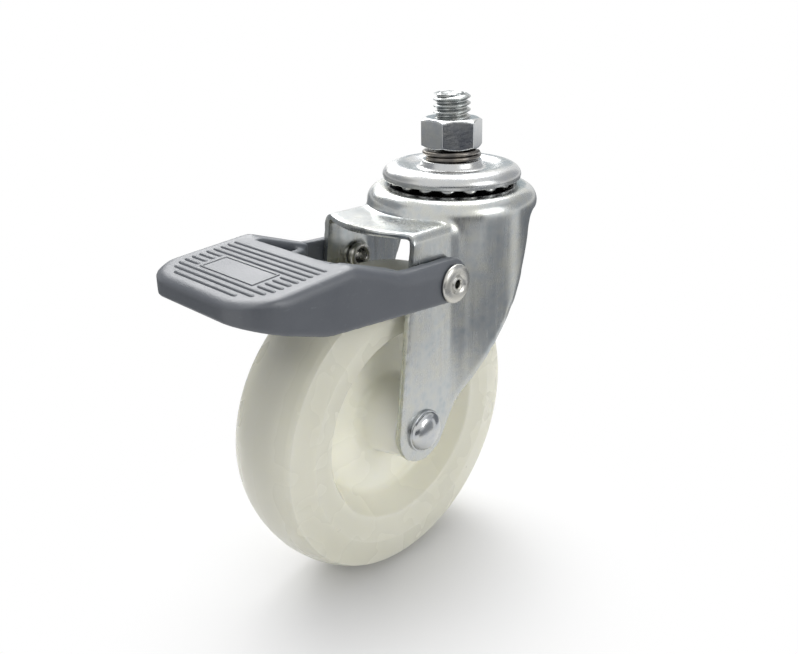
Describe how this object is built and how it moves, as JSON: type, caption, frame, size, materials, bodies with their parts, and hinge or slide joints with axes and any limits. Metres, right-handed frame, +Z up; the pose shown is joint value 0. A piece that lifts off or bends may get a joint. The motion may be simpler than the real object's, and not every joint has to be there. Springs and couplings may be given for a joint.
{
  "type": "swivel castor with brake",
  "caption": "Swivel castor with a threaded stem, a zinc-plated steel fork, an ivory nylon wheel and a grey brake pedal.",
  "frame": {"origin": "on the swivel axis, where the free end of the threaded stem leaves its nut", "axes": "+Z up the stem; -X towards the trailing wheel and the brake pedal; Y along the axle"},
  "size_m": [0.1284, 0.0568, 0.1501],
  "materials": {
    "zinc_steel": "bright zinc plating",
    "ball_steel": "polished",
    "spring_steel": "dark and burnished",
    "nylon": "milky and slightly see-through",
    "pedal_plastic": "satin moulding"
  },
  "bodies": {
    "stem": {"stem_bolt": "zinc_steel", "hex_nut": "zinc_steel", "spring_washer": "spring_steel", "top_cap": "zinc_steel", "upper_balls": "ball_steel", "lower_balls": "ball_steel", "lower_race": "zinc_steel"},
    "fork": {"fork": "zinc_steel", "axle_rivet": "zinc_steel", "axle_sleeve": "zinc_steel", "pivot_rivet_left": "zinc_steel", "pivot_rivet_right": "zinc_steel"},
    "wheel": {"wheel": "nylon"},
    "pedal": {"brake_pedal": "pedal_plastic"}
  },
  "joints": [
    {"name": "swivel", "type": "hinge", "parent": "stem", "child": "fork", "pos_m": [0, 0, -0.0202], "axis": [0, 0, 1], "continuous": true},
    {"name": "wheel_spin", "type": "hinge", "parent": "fork", "child": "wheel", "pos_m": [-0.0358, 0, -0.09209], "axis": [0, 1, 0], "continuous": true},
    {"name": "brake_press", "type": "hinge", "parent": "fork", "child": "pedal", "pos_m": [-0.0274, 0, -0.04419], "axis": [0, -1, 0], "range_deg": [0, 7.1]}
  ]
}
